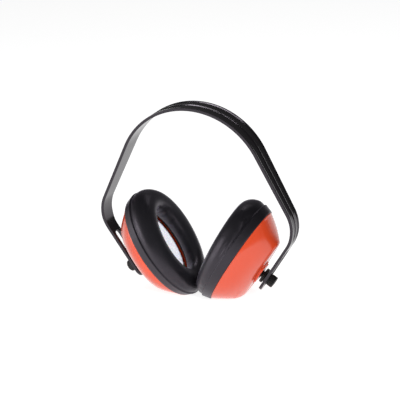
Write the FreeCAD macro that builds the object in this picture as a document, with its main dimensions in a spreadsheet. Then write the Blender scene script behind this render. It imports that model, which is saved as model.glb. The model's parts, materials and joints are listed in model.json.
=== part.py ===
import FreeCAD, Part
import math
import os

import Sketcher
from FreeCAD import Placement, Rotation, Vector

# Hearing protection earmuffs: a one-piece sprung headband with slotted ends, and two cups that
# slide, swivel and tilt on clamps in the slots.  Frame: X ear to ear, Y towards the back, Z up,
# origin under the middle of the pair at the height of its lowest point, relaxed and cups lowest.
#
# Everything on one cup is drawn about the middle of its ball joint: local Z points outward through
# the band, local X up along the band's slotted end, and the cup opens towards local -Z.

DIMENSIONS = [
    # alias, value in millimetres or degrees, what it measures
    ("splay", 33.3, "lean of the slotted ends from the vertical"),
    ("pivot_across", 55.5, "ball joint from the middle plane"),
    ("pivot_height", 30.15, "ball joint above the lowest point"),
    ("overall_height", 178.0, "crown of the band above the lowest point"),
    ("crown_turn", 63.0, "turn of the band from its crown to its straight flare"),
    ("knee_radius", 32.0, "outer radius of the bend above each slotted end"),
    ("strap_thickness", 2.6, "band, over its ribs"),
    ("rib_height", 0.5, "ribs proud of the band's outer face"),
    ("rib_width", 2.0, "ribs along the band's two edges"),
    ("centre_rib", 1.0, "width of the rib along the band's middle"),
    ("crown_width", 24.0, "band at the crown"),
    ("knee_width", 16.5, "band at the knee"),
    ("strip_width", 14.5, "slotted end"),
    ("strip_length", 52.2, "slotted end, from the knee to the tip"),
    ("slot_width", 7.5, "slot"),
    ("slot_length", 42.7, "slot, over its round ends"),
    ("clamp_to_tip", 13.0, "clamp from the band's tip with the cup lowest"),
    ("clamp_to_slot_end", 8.0, "clamp from the lower end of the slot with the cup lowest"),
    ("stack", 9.4, "ball joint to the inner face of the band"),
    ("play", 0.05, "gap between faces that slide or turn on each other"),
    ("flange_radius", 5.2, "stud flange and washer"),
    ("flange_thickness", 1.0, "stud flange"),
    ("key_length", 10.0, "stud key along the slot, over its round ends"),
    ("key_width", 7.3, "stud key across the slot"),
    ("stud_radius", 2.5, "threaded end of the stud"),
    ("washer_thickness", 0.8, "washer under the knob"),
    ("knob_radius", 5.4, "thumb knob over its ribs"),
    ("knob_height", 5.2, "thumb knob"),
    ("knob_grooves", 18, "grooves round the thumb knob"),
    ("groove_radius", 0.5, "grooves round the thumb knob"),
    ("groove_offset", 0.25, "middle of each groove beyond the knob's edge"),
    ("collar_radius", 7.0, "spacer collar"),
    ("collar_height", 2.45, "spacer collar"),
    ("neck_radius", 3.0, "neck of the ball stem"),
    ("ball_radius", 5.0, "ball of the ball stem"),
    ("seat_outer", 6.3, "outer radius of the ball seat"),
    ("seat_half_height", 3.2, "ball seat above and below the ball's middle"),
    ("socket_radius", 6.4, "spherical socket in the shell and its cap"),
    ("screw_radius", 1.5, "pivot screw"),
    ("screw_head", 2.5, "head radius of the pivot screw"),
    ("face_level", 2.6, "outer face of the shell above the ball's middle"),
    ("face_softening", 2.5, "rounding round the shell's outer face"),
    ("ledge_height", 1.6, "clamp ledge proud of the shell's outer face"),
    ("ledge_length", 16.5, "upper step of the clamp ledge, along the cup"),
    ("ledge_width", 15.0, "upper step of the clamp ledge, across the cup"),
    ("step_length", 21.5, "lower step of the clamp ledge, along the cup"),
    ("step_width", 12.0, "lower step of the clamp ledge, across the cup"),
    ("cap_length", 30.0, "flange of the socket cap, along the cup"),
    ("cap_width", 13.0, "flange of the socket cap, across the cup"),
    ("cap_thickness", 2.0, "flange of the socket cap below the ball's middle"),
    ("cap_screw_reach", 11.5, "cap screws from the ball's middle"),
    ("cap_screw_radius", 1.1, "shank of a cap screw"),
    ("cap_screw_head", 2.2, "head radius of a cap screw"),
    ("shell_depth", 22.4, "outer face of the shell to its rim"),
    ("shoulder_depth", 9.8, "outer face of the shell to its shoulder section"),
    ("wall", 2.4, "shell wall"),
    ("cup_shift", 1.5, "middle of the cup above its ball joint, along the cup"),
    ("face_long", 32.5, "half length of the shell's outer face"),
    ("face_short", 12.0, "half width of the shell's outer face"),
    ("shoulder_long", 39.5, "half length of the shell's shoulder section"),
    ("shoulder_short", 29.0, "half width of the shell's shoulder section"),
    ("rim_long", 49.5, "half length of the shell's rim"),
    ("rim_short", 34.5, "half width of the shell's rim"),
    ("skirt_long", 50.2, "half length of the cushion's skirt at the rim"),
    ("skirt_short", 35.2, "half width of the cushion's skirt at the rim"),
    ("skirt_depth", 8.0, "skirt of the cushion, from the rim"),
    ("girth_long", 52.6, "half length of the cushion at the end of its skirt"),
    ("girth_short", 37.2, "half width of the cushion at the end of its skirt"),
    ("cushion_depth", 21.5, "cushion, from the rim to the middle of its face"),
    ("cushion_lean", 2.5, "cushion's face, thicker at the upper end of the cup"),
    ("ear_long", 31.0, "half length of the opening for the ear"),
    ("ear_short", 18.0, "half width of the opening for the ear"),
    ("skin", 1.2, "cushion cover"),
    ("foam_gap", 0.1, "cushion's foam to its cover, and cover to plate"),
    ("plate_thickness", 1.5, "plate under the cushion"),
    ("plate_overhang", 2.5, "edge of the plate back from the opening for the ear"),
    ("lip_inset", 2.6, "lip of the plate inside the shell's rim"),
    ("lip_height", 1.0, "lip of the plate above the shell's rim"),
    ("lip_taper", 0.7, "taper of the lip from its root to its edge"),
    ("lip_thickness", 1.2, "lip of the plate"),
    ("liner_top", 15.8, "face of the foam liner below the ball's middle"),
    ("liner_thickness", 8.8, "foam liner"),
    ("liner_flare_long", 6.7, "foam liner's face beyond the shoulder section, at the ends"),
    ("liner_flare_short", 5.0, "foam liner's face beyond the shoulder section, at the sides"),
    ("liner_gap", 1.0, "foam liner to the shell's wall"),
]

doc = FreeCAD.newDocument("earmuffs")
sheet = doc.addObject("Spreadsheet::Sheet", "dims")
for row, (alias, size, meaning) in enumerate(DIMENSIONS, start=1):
    sheet.set(f"A{row}", meaning)
    sheet.set(f"B{row}", str(size))
    sheet.setAlias(f"B{row}", alias)
doc.recompute()

# Levels along a cup's local Z, and lengths that several pieces share.
BAND_INNER = "dims.stack"
BAND_OUTER = "(dims.stack + dims.strap_thickness)"
FLANGE_INNER = "(dims.stack - dims.play - dims.flange_thickness)"
COLLAR_OUTER = "(dims.stack - 2 * dims.play - dims.flange_thickness)"
COLLAR_INNER = f"({COLLAR_OUTER} - dims.collar_height)"
WASHER_INNER = f"({BAND_OUTER} + dims.play)"
WASHER_OUTER = f"({WASHER_INNER} + dims.washer_thickness)"
KNOB_INNER = f"({WASHER_OUTER} + dims.play)"
KNOB_OUTER = f"({KNOB_INNER} + dims.knob_height)"
LEDGE_TOP = "(dims.face_level + dims.ledge_height)"
RIM = "(dims.face_level - dims.shell_depth)"
SHOULDER = "(dims.face_level - dims.shoulder_depth)"
SKIRT_END = f"({RIM} - dims.skirt_depth)"
PLATE_UNDER = f"({SKIRT_END} + dims.play)"
CUSHION_FACE = f"({RIM} - dims.cushion_depth)"
BEYOND_FACE = f"({CUSHION_FACE} - 4)"
STRIP_ABOVE = "(dims.strip_length - dims.clamp_to_tip)"
# Middle of the knee bend, from the origin.
KNEE_OUT = "(dims.stack + dims.strap_thickness - dims.knee_radius)"
KNEE_X = f"(dims.pivot_across + cos(dims.splay) * {KNEE_OUT} + sin(dims.splay) * {STRIP_ABOVE})"
KNEE_Z = f"(dims.pivot_height - sin(dims.splay) * {KNEE_OUT} + cos(dims.splay) * {STRIP_ABOVE})"


def value(expression):
    """The number that an expression in the sheet's dimensions stands for."""
    return float(sheet.evalExpression(expression))


def bind(thing, **sizes):
    """Tie properties of an object to expressions; double underscores stand for dots."""
    for name, expression in sizes.items():
        thing.setExpression(name.replace("__", "."), expression)
    return thing


# ---- sketches ----------------------------------------------------------------------------------

def plane_of(body, role):
    return next(p for p in body.Origin.OriginFeatures if p.Role == role)


def new_sketch(body, name, role):
    sketch = body.newObject("Sketcher::SketchObject", name)
    sketch.AttachmentSupport = (plane_of(body, role), [""])
    sketch.MapMode = "FlatFace"
    return sketch


def measure(sketch, kind, expression, *where):
    """Add a dimension whose size is an expression."""
    index = sketch.addConstraint(Sketcher.Constraint(kind, *where, value(expression)))
    sketch.setExpression(f"Constraints[{index}]", expression)


def pin(sketch, edge, end, x, y):
    """Fix a point of an edge at (x, y), each an expression."""
    for kind, axis, expression in (("DistanceX", -2, x), ("DistanceY", -1, y)):
        if expression == "0":
            sketch.addConstraint(Sketcher.Constraint("PointOnObject", edge, end, axis))
        else:
            measure(sketch, kind, expression, -1, 1, edge, end)


def polygon(sketch, corners):
    """Closed outline through corners, each an (x, y) pair of expressions."""
    first = sketch.GeometryCount
    points = [Vector(value(x), value(y), 0) for x, y in corners]
    count = len(points)
    for i in range(count):
        sketch.addGeometry(Part.LineSegment(points[i], points[(i + 1) % count]))
    for i in range(count):
        following = first + (i + 1) % count
        sketch.addConstraint(Sketcher.Constraint("Coincident", first + i, 2, following, 1))
        pin(sketch, first + i, 1, *corners[i])


def stadium(sketch, low, high, radius):
    """Outline with round ends along the sketch's vertical axis, low and high being its ends."""
    first = sketch.GeometryCount
    top, bottom, side = value(high), value(low), value(radius)
    upper = Vector(0, top - side, 0)
    lower = Vector(0, bottom + side, 0)
    normal = Vector(0, 0, 1)
    sketch.addGeometry(Part.ArcOfCircle(Part.Circle(upper, normal, side), 0, math.pi))
    sketch.addGeometry(Part.LineSegment(Vector(-side, upper.y, 0), Vector(-side, lower.y, 0)))
    sketch.addGeometry(Part.ArcOfCircle(Part.Circle(lower, normal, side), math.pi, 2 * math.pi))
    sketch.addGeometry(Part.LineSegment(Vector(side, lower.y, 0), Vector(side, upper.y, 0)))
    ends = [(0, 2, 1, 1), (1, 2, 2, 1), (2, 2, 3, 1), (3, 2, 0, 1)]
    for edge, end, other, other_end in ends:
        sketch.addConstraint(
            Sketcher.Constraint("Tangent", first + edge, end, first + other, other_end)
        )
    pin(sketch, first, 3, "0", f"({high}) - ({radius})")
    pin(sketch, first + 2, 3, "0", f"({low}) + ({radius})")
    measure(sketch, "Radius", radius, first)


def tongue(sketch, low, high, radius):
    """Outline with a round lower end and a square upper end, along the sketch's vertical axis."""
    first = sketch.GeometryCount
    top, side = value(high), value(radius)
    lower = Vector(0, value(low) + side, 0)
    round_end = Part.Circle(lower, Vector(0, 0, 1), side)
    sketch.addGeometry(Part.ArcOfCircle(round_end, math.pi, 2 * math.pi))
    sketch.addGeometry(Part.LineSegment(Vector(side, lower.y, 0), Vector(side, top, 0)))
    sketch.addGeometry(Part.LineSegment(Vector(side, top, 0), Vector(-side, top, 0)))
    sketch.addGeometry(Part.LineSegment(Vector(-side, top, 0), Vector(-side, lower.y, 0)))
    for kind, edge, end, other, other_end in (
        ("Tangent", 0, 2, 1, 1),
        ("Coincident", 1, 2, 2, 1),
        ("Coincident", 2, 2, 3, 1),
        ("Tangent", 3, 2, 0, 1),
    ):
        sketch.addConstraint(
            Sketcher.Constraint(kind, first + edge, end, first + other, other_end)
        )
    pin(sketch, first, 3, "0", f"({low}) + ({radius})")
    pin(sketch, first + 2, 1, radius, high)
    pin(sketch, first + 2, 2, f"-({radius})", high)


# ---- features ----------------------------------------------------------------------------------

def pad(body, sketch, length, symmetric=False):
    feature = body.newObject("PartDesign::Pad", f"{sketch.Name}_pad")
    feature.Profile = sketch
    feature.SideType = "Symmetric" if symmetric else "One side"
    return bind(feature, Length=length)


def pocket_through(body, sketch):
    feature = body.newObject("PartDesign::Pocket", f"{sketch.Name}_pocket")
    feature.Profile = sketch
    feature.SideType = "Symmetric"
    feature.Type = "ThroughAll"
    return feature


def turned_body(name, outline):
    """Body turned about local Z from an outline of (radius, level) expressions."""
    body = doc.addObject("PartDesign::Body", name)
    sketch = new_sketch(body, f"{name}_outline", "XZ_Plane")
    polygon(sketch, outline)
    turn = body.newObject("PartDesign::Revolution", f"{name}_turn")
    turn.Profile = sketch
    turn.ReferenceAxis = (sketch, ["V_Axis"])
    turn.Angle = 360
    return body


def cylinder(name, radius, low, high):
    solid = doc.addObject("Part::Cylinder", name)
    return bind(solid, Radius=radius, Height=f"({high}) - ({low})", Placement__Base__z=low)


def ball(name, radius):
    return bind(doc.addObject("Part::Sphere", name), Radius=radius)


def block(name, long, wide, low, high):
    """Box centred on local Z."""
    solid = doc.addObject("Part::Box", name)
    bind(solid, Length=long, Width=wide, Height=f"({high}) - ({low})")
    return bind(
        solid,
        Placement__Base__x=f"-({long}) / 2",
        Placement__Base__y=f"-({wide}) / 2",
        Placement__Base__z=low,
    )


def oval_loft(name, sections, ruled=False):
    """Solid through ovals of the cup, each given by expressions for its half length, half width
    and level, and perhaps for how far it leans towards the cup's upper end.
    """
    rings = []
    for i, (long_half, short_half, level, *lean) in enumerate(sections):
        ring = doc.addObject("Part::Ellipse", f"{name}_oval{i}")
        bind(ring, MajorRadius=long_half, MinorRadius=short_half)
        if lean:
            ring.Placement = Placement(Vector(), Rotation(Vector(0, 1, 0), value(lean[0])))
            bind(ring, Placement__Rotation__Angle=lean[0])
        bind(ring, Placement__Base__x="dims.cup_shift", Placement__Base__z=level)
        rings.append(ring)
    loft = doc.addObject("Part::Loft", name)
    loft.Sections = rings
    loft.Solid = True
    loft.Ruled = ruled
    return loft


def fuse(name, *solids):
    joined = doc.addObject("Part::MultiFuse", name)
    joined.Shapes = list(solids)
    joined.Refine = True
    return joined


def cut(name, base, *tools):
    result = base
    for i, tool in enumerate(tools):
        step = doc.addObject("Part::Cut", name if i == len(tools) - 1 else f"{name}_cut{i}")
        step.Base = result
        step.Tool = tool
        result = step
    return result


# ---- the band ----------------------------------------------------------------------------------

def strap_layer(body, name, outer, inner):
    """Side view of the band from crown to knee, between two depths below its outer face."""
    sketch = new_sketch(body, name, "XZ_Plane")
    turn = math.radians(value("dims.crown_turn"))
    lean = math.radians(value("dims.splay"))
    knee = Vector(value(KNEE_X), value(KNEE_Z), 0)
    radius = value("dims.knee_radius")
    steep = 1 / math.cos(turn)
    rise = knee.y + knee.x * math.tan(turn) + radius * steep - value("dims.overall_height")
    crown = rise / (steep - 1)
    middle = Vector(0, value("dims.overall_height") - crown, 0)
    normal = Vector(0, 0, 1)
    flare_end = math.pi / 2 - turn

    def bend(centre, size, low, high):
        return sketch.addGeometry(Part.ArcOfCircle(Part.Circle(centre, normal, size), low, high))

    def spot(centre, size, angle):
        return centre + Vector(math.cos(angle), math.sin(angle), 0) * size

    edges = []
    for depth in (value(outer), value(inner)):
        top = bend(middle, crown - depth, flare_end, math.pi / 2)
        start = spot(middle, crown - depth, flare_end)
        stop = spot(knee, radius - depth, flare_end)
        flare = sketch.addGeometry(Part.LineSegment(start, stop))
        low = bend(knee, radius - depth, -lean, flare_end)
        sketch.addConstraint(Sketcher.Constraint("Tangent", top, 1, flare, 1))
        sketch.addConstraint(Sketcher.Constraint("Tangent", flare, 2, low, 2))
        edges.append((top, flare, low))
    (top, flare, low), (top_in, flare_in, low_in) = edges
    seam = sketch.addGeometry(
        Part.LineSegment(spot(middle, crown, math.pi / 2), spot(middle, crown - 1, math.pi / 2))
    )
    foot = sketch.addGeometry(
        Part.LineSegment(spot(knee, radius, -lean), spot(knee, radius - 1, -lean))
    )
    joins = [(top, 2, seam, 1), (top_in, 2, seam, 2), (low, 1, foot, 1), (low_in, 1, foot, 2)]
    for edge, end, other, other_end in joins:
        sketch.addConstraint(Sketcher.Constraint("Coincident", edge, end, other, other_end))
    sketch.addConstraint(Sketcher.Constraint("Coincident", top, 3, top_in, 3))
    sketch.addConstraint(Sketcher.Constraint("Coincident", low, 3, low_in, 3))
    sketch.addConstraint(Sketcher.Constraint("PointOnObject", top, 3, -2))
    sketch.addConstraint(Sketcher.Constraint("PointOnObject", low, 3, foot))
    pin(sketch, seam, 1, "0", f"dims.overall_height - ({outer})")
    pin(sketch, seam, 2, "0", f"dims.overall_height - ({inner})")
    measure(sketch, "Radius", f"dims.knee_radius - ({outer})", low)
    measure(sketch, "Radius", f"dims.knee_radius - ({inner})", low_in)
    measure(sketch, "DistanceX", KNEE_X, -1, 1, low, 3)
    measure(sketch, "DistanceY", KNEE_Z, -1, 1, low, 3)
    foot_drop = f"sin(dims.splay) * (dims.knee_radius - ({outer}))"
    measure(sketch, "DistanceY", foot_drop, foot, 1, low, 3)
    return sketch


def headband_half(name):
    """Half of the band, from the crown to one tip, on the +X side."""
    body = doc.addObject("PartDesign::Body", name)
    body.AllowCompound = True
    above = "(dims.overall_height + 5)"

    ribs = strap_layer(body, f"{name}_ribs", "0", "dims.rib_height")
    pad(body, ribs, "dims.crown_width", symmetric=True)
    channels = new_sketch(body, f"{name}_channels", "YZ_Plane")
    for sign in ("", "-"):
        near = f"{sign}(dims.centre_rib / 2)"
        crown_edge = f"{sign}(dims.crown_width / 2 - dims.rib_width)"
        knee_edge = f"{sign}(dims.knee_width / 2 - dims.rib_width)"
        below = f"({KNEE_Z} - dims.knee_radius)"
        polygon(channels, [(near, above), (crown_edge, above), (knee_edge, KNEE_Z),
                           (knee_edge, below), (near, below)])
    pocket_through(body, channels)
    core = strap_layer(body, f"{name}_core", "dims.rib_height", "dims.strap_thickness")
    pad(body, core, "dims.crown_width", symmetric=True)

    sides = new_sketch(body, f"{name}_sides", "YZ_Plane")
    for sign in ("", "-"):
        clear = f"{sign}(dims.crown_width / 2 + 5)"
        crown_edge = f"{sign}(dims.crown_width / 2)"
        knee_edge = f"{sign}(dims.knee_width / 2)"
        below = f"({KNEE_Z} - dims.knee_radius)"
        polygon(sides, [(clear, above), (crown_edge, above), (knee_edge, KNEE_Z),
                        (knee_edge, below), (clear, below)])
    pocket_through(body, sides)

    strip = new_sketch(body, f"{name}_strip", "YZ_Plane")
    strip.AttachmentOffset = Placement(Vector(), Rotation(Vector(1, 0, 0), value("dims.splay")))
    bind(
        strip,
        AttachmentOffset__Base__y=f"dims.pivot_height - sin(dims.splay) * {BAND_INNER}",
        AttachmentOffset__Base__z=f"dims.pivot_across + cos(dims.splay) * {BAND_INNER}",
        AttachmentOffset__Rotation__Angle="dims.splay",
    )
    tongue(strip, "-dims.clamp_to_tip", STRIP_ABOVE, "dims.strip_width / 2")
    slot_low = "-dims.clamp_to_slot_end"
    stadium(strip, slot_low, f"{slot_low} + dims.slot_length", "dims.slot_width / 2")
    pad(body, strip, "dims.strap_thickness")
    return body


# ---- the clamp and the ball joint --------------------------------------------------------------

def clamp_stud(name):
    """Flange inside the band, key in the slot and threaded end through the knob."""
    shank_end = f"{KNOB_OUTER} - 1.5"
    body = turned_body(name, [
        ("0", FLANGE_INNER),
        ("dims.flange_radius", FLANGE_INNER),
        ("dims.flange_radius", f"{BAND_INNER} - dims.play"),
        ("dims.stud_radius", f"{BAND_INNER} - dims.play"),
        ("dims.stud_radius", shank_end),
        ("0", shank_end),
    ])
    key = new_sketch(body, f"{name}_key", "XY_Plane")
    key.AttachmentOffset = Placement(Vector(), Rotation(Vector(0, 0, 1), 90))
    bind(key, AttachmentOffset__Base__z=f"{BAND_INNER} - dims.play")
    stadium(key, "-dims.key_length / 2", "dims.key_length / 2", "dims.key_width / 2")
    pad(body, key, "dims.strap_thickness - 0.2")
    hole = new_sketch(body, f"{name}_hole", "XZ_Plane")
    hole_radius = "(dims.screw_radius + 0.02)"
    polygon(hole, [
        ("0", FLANGE_INNER),
        (hole_radius, FLANGE_INNER),
        (hole_radius, f"{BAND_OUTER} + 3"),
        ("0", f"{BAND_OUTER} + 3"),
    ])
    bore = body.newObject("PartDesign::Groove", f"{name}_bore")
    bore.Profile = hole
    bore.ReferenceAxis = (hole, ["V_Axis"])
    bore.Angle = 360
    return body


def guide_washer(name):
    bore = "(dims.stud_radius + dims.play)"
    return turned_body(name, [
        (bore, WASHER_INNER),
        ("dims.flange_radius", WASHER_INNER),
        ("dims.flange_radius", WASHER_OUTER),
        (bore, WASHER_OUTER),
    ])


def thumb_knob(name):
    """Round cap nut with grooves round its edge."""
    bore = "(dims.stud_radius + dims.play)"
    body = turned_body(name, [
        (bore, KNOB_INNER),
        ("dims.knob_radius", KNOB_INNER),
        ("dims.knob_radius", f"{KNOB_OUTER} - 1"),
        ("dims.knob_radius - 1", KNOB_OUTER),
        ("0", KNOB_OUTER),
        ("0", f"{KNOB_OUTER} - 1.4"),
        (bore, f"{KNOB_OUTER} - 1.4"),
    ])
    groove = new_sketch(body, f"{name}_groove", "XY_Plane")
    middle = "(dims.knob_radius + dims.groove_offset)"
    round_groove = Part.Circle(Vector(value(middle), 0, 0), Vector(0, 0, 1), value("dims.groove_radius"))
    groove.addGeometry(round_groove)
    pin(groove, 0, 3, middle, "0")
    measure(groove, "Radius", "dims.groove_radius", 0)
    notch = pocket_through(body, groove)
    doc.recompute()
    ring = body.newObject("PartDesign::PolarPattern", f"{name}_grooves")
    ring.Originals = [notch]
    ring.Axis = (groove, ["N_Axis"])
    ring.Angle = 360
    bind(ring, Occurrences="dims.knob_grooves")
    body.Tip = ring
    return body


def spacer_collar(name):
    bore = "(dims.neck_radius + dims.play)"
    return turned_body(name, [
        (bore, COLLAR_INNER),
        ("dims.collar_radius - 0.4", COLLAR_INNER),
        ("dims.collar_radius", f"{COLLAR_INNER} + 0.4"),
        ("dims.collar_radius", COLLAR_OUTER),
        (bore, COLLAR_OUTER),
    ])


def ball_stem(name):
    """Ball and neck, bored for the pivot screw that it turns on."""
    neck = cylinder(f"{name}_neck", "dims.neck_radius", "0", COLLAR_OUTER)
    solid = fuse(f"{name}_solid", ball(f"{name}_ball", "dims.ball_radius"), neck)
    bore = cylinder(f"{name}_bore", "dims.screw_radius + 0.1", "-dims.ball_radius", "dims.stack")
    recess = cylinder(f"{name}_recess", "dims.screw_head + 0.2", "-dims.ball_radius - 1",
                      "-dims.ball_radius / 2")
    return cut(name, solid, bore, recess)


def pivot_screw(name):
    """Screw from inside the ball into the stud, with a plain pan head."""
    seat = "(-dims.ball_radius / 2 - 2 * dims.play)"
    return turned_body(name, [
        ("0", f"{seat} - 1.7"),
        ("dims.screw_head - 0.5", f"{seat} - 1.7"),
        ("dims.screw_head", f"{seat} - 1.2"),
        ("dims.screw_head", seat),
        ("dims.screw_radius", seat),
        ("dims.screw_radius", f"{BAND_OUTER} + 2"),
        ("0", f"{BAND_OUTER} + 2.8"),
    ])


def ball_seat(name):
    """Soft ring between the ball and the socket that holds the ball and seals the shell."""
    height = "dims.seat_half_height"
    zone = cylinder(f"{name}_zone", "dims.seat_outer + 1", f"-{height}", height)
    ring = doc.addObject("Part::Common", f"{name}_ring")
    ring.Base = ball(f"{name}_outside", "dims.seat_outer")
    ring.Tool = zone
    return cut(name, ring, ball(f"{name}_inside", "dims.ball_radius + dims.play"))


# ---- the cup -----------------------------------------------------------------------------------

def cap_screw_pair(name, radius, low, high):
    """Two parallel cylinders, one each side of the ball joint."""
    pair = []
    for sign in (1, -1):
        rod = cylinder(f"{name}{len(pair)}", radius, low, high)
        pair.append(bind(rod, Placement__Base__x=f"{sign} * dims.cap_screw_reach"))
    return pair


def face_edge(loft):
    """Number of the edge round the end of a loft that faces outward."""
    levels = [edge.BoundBox.ZMin for edge in loft.Shape.Edges]
    return levels.index(max(levels)) + 1


def cup_shell(name):
    """Moulded cup with a two-step ledge for the clamp and the outer half of the ball socket."""
    wall = "dims.wall"
    outside = oval_loft(f"{name}_outside", [
        ("dims.face_long", "dims.face_short", "dims.face_level"),
        ("dims.shoulder_long", "dims.shoulder_short", SHOULDER),
        ("dims.rim_long", "dims.rim_short", RIM),
    ])
    inside = oval_loft(f"{name}_inside", [
        (f"dims.face_long - {wall}", f"dims.face_short - {wall}", f"dims.face_level - {wall}"),
        (f"dims.shoulder_long - {wall}", f"dims.shoulder_short - {wall}", f"{SHOULDER} - 0.4"),
        (f"dims.rim_long - {wall}", f"dims.rim_short - {wall}", f"{RIM} - 0.01"),
    ])
    doc.recompute()
    softened = doc.addObject("Part::Fillet", f"{name}_softened")
    softened.Base = outside
    softening = value("dims.face_softening")
    softened.Edges = [(face_edge(outside), softening, softening)]
    step_top = f"{LEDGE_TOP} - dims.ledge_height / 2"
    step = block(f"{name}_step", "dims.step_length", "dims.step_width", "0.5", step_top)
    ledge = block(f"{name}_ledge", "dims.ledge_length", "dims.ledge_width", "0.5", LEDGE_TOP)
    hollow = cut(f"{name}_hollow", softened, inside)
    solid = fuse(f"{name}_solid", hollow, step, ledge)
    holes = cap_screw_pair(f"{name}_hole", "dims.cap_screw_radius + 0.02", "-1", "2.3")
    return cut(name, solid, ball(f"{name}_socket", "dims.socket_radius"), *holes)


def socket_cap(name):
    """Inner half of the ball socket, screwed to the shell's floor."""
    top = "(dims.face_level - dims.wall - 0.25)"
    flange = block(f"{name}_flange", "dims.cap_length", "dims.cap_width", "-dims.cap_thickness", top)
    dome = cylinder(f"{name}_dome", "dims.socket_radius + 1.4", "-6", top)
    mouth = cylinder(f"{name}_mouth", "dims.screw_head + 1", "-8", "0")
    holes = cap_screw_pair(f"{name}_hole", "dims.cap_screw_radius + 0.1", "-4", "1")
    solid = fuse(f"{name}_solid", flange, dome)
    return cut(name, solid, ball(f"{name}_socket", "dims.socket_radius"), mouth, *holes)


def cap_screws(name):
    """The two screws through the socket cap."""
    head_low = "-dims.cap_thickness - 1.4 - dims.play"
    head_high = "-dims.cap_thickness - dims.play"
    heads = cap_screw_pair(f"{name}_head", "dims.cap_screw_head", head_low, head_high)
    shanks = cap_screw_pair(f"{name}_shank", "dims.cap_screw_radius", head_high, "2.1")
    return fuse(name, *heads, *shanks)


def foam_liner(name):
    """Absorbing foam over the socket cap, with its face below the rim."""
    top = "(-dims.liner_top)"
    bottom = f"({top} + dims.liner_thickness)"
    inset = "(dims.wall + dims.liner_gap)"
    return oval_loft(name, [
        (f"dims.shoulder_long - {inset}", f"dims.shoulder_short - {inset}", bottom),
        (
            f"dims.shoulder_long + dims.liner_flare_long - {inset}",
            f"dims.shoulder_short + dims.liner_flare_short - {inset}",
            top,
        ),
    ], ruled=True)


def cushion_plate(name):
    """Tray under the cushion: a ring, a wall up to the shell's rim and a lip that snaps into it."""
    top = f"({RIM} - dims.play)"
    lip_long, lip_short = "dims.rim_long - dims.lip_inset", "dims.rim_short - dims.lip_inset"
    hollow_long, hollow_short = f"{lip_long} - dims.lip_thickness", f"{lip_short} - dims.lip_thickness"
    tray = oval_loft(f"{name}_tray", [
        ("dims.skirt_long - dims.skin", "dims.skirt_short - dims.skin", top),
        ("dims.girth_long - dims.skin", "dims.girth_short - dims.skin", PLATE_UNDER),
    ], ruled=True)
    lip = oval_loft(f"{name}_lip", [
        (f"{lip_long} - dims.lip_taper", f"{lip_short} - dims.lip_taper", f"{RIM} + dims.lip_height"),
        (lip_long, lip_short, f"{top} - dims.lip_height"),
    ], ruled=True)
    hollow = oval_loft(f"{name}_hollow", [
        (hollow_long, hollow_short, f"{RIM} + 2 * dims.lip_height"),
        (hollow_long, hollow_short, f"{PLATE_UNDER} + dims.plate_thickness"),
    ], ruled=True)
    opening = ear_opening(f"{name}_opening", "dims.plate_overhang", BEYOND_FACE, RIM)
    return cut(name, fuse(f"{name}_solid", tray, lip), hollow, opening)


# Outside of the cushion from its skirt to its face: how much shorter and narrower than its girth
# each half is, at which level, and the share of the face's lean.
CUSHION_OUTLINE = [
    (1.0, 1.0, f"{SKIRT_END} - 0.6", 0),
    (0.6, 0.5, f"{SKIRT_END} - 5", 0.3),
    (5.2, 4.2, f"{SKIRT_END} - 9.5", 0.7),
    (11.6, 9.8, CUSHION_FACE, 1),
]


def cushion_form(name, inset, backs):
    """Oval cushion without its opening: backs, then a crease, then a rounded and leaning face."""
    sections = list(backs)
    for less, slim, level, share in CUSHION_OUTLINE:
        long_half = f"dims.girth_long - {less} - ({inset})"
        short_half = f"dims.girth_short - {slim} - ({inset})"
        rise = inset if level == CUSHION_FACE else "0"
        sections.append((long_half, short_half, f"{level} + ({rise})", f"{share} * dims.cushion_lean"))
    return oval_loft(name, sections, ruled=True)


def ear_opening(name, inset, low, high):
    long_half, short_half = f"dims.ear_long + ({inset})", f"dims.ear_short + ({inset})"
    return oval_loft(name, [(long_half, short_half, low), (long_half, short_half, high)], ruled=True)


def cushion_foam(name):
    """Foam ring inside the cushion cover, resting on the plate."""
    gap = "(dims.skin + dims.foam_gap)"
    back_gap = "(dims.skin + 2 * dims.foam_gap)"
    back_level = f"{SKIRT_END} - dims.foam_gap"
    back = (f"dims.girth_long - {back_gap}", f"dims.girth_short - {back_gap}", back_level)
    form = cushion_form(f"{name}_form", gap, [back])
    return cut(name, form, ear_opening(f"{name}_opening", gap, BEYOND_FACE, RIM))


def cushion_cover(name):
    """Soft skin round the foam, open towards the plate, with a skirt round the plate's wall."""
    skin = "dims.skin"
    form = cushion_form(f"{name}_form", "0", [
        ("dims.skirt_long", "dims.skirt_short", f"{RIM} - dims.play"),
        ("dims.girth_long", "dims.girth_short", SKIRT_END),
    ])
    opening = ear_opening(f"{name}_opening", "0", BEYOND_FACE, RIM)
    inner = cushion_form(f"{name}_inner", skin, [
        (f"dims.girth_long - {skin}", f"dims.girth_short - {skin}", f"{SKIRT_END} + {skin}"),
        (f"dims.girth_long - {skin}", f"dims.girth_short - {skin}", SKIRT_END),
    ])
    room = cut(f"{name}_room", inner, ear_opening(f"{name}_wall", skin, BEYOND_FACE, RIM))
    grown = "dims.skin - dims.foam_gap"
    recess = oval_loft(f"{name}_recess", [
        (f"dims.skirt_long - ({grown})", f"dims.skirt_short - ({grown})", f"{RIM} - dims.play"),
        (f"dims.girth_long - ({grown})", f"dims.girth_short - ({grown})", SKIRT_END),
    ], ruled=True)
    return cut(name, form, opening, room, recess)


# ---- assembly ----------------------------------------------------------------------------------

CUP_PIECES = [
    clamp_stud, guide_washer, thumb_knob, spacer_collar, ball_stem, pivot_screw, ball_seat,
    cup_shell, socket_cap, cap_screws, foam_liner, cushion_plate, cushion_foam, cushion_cover,
]


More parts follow.
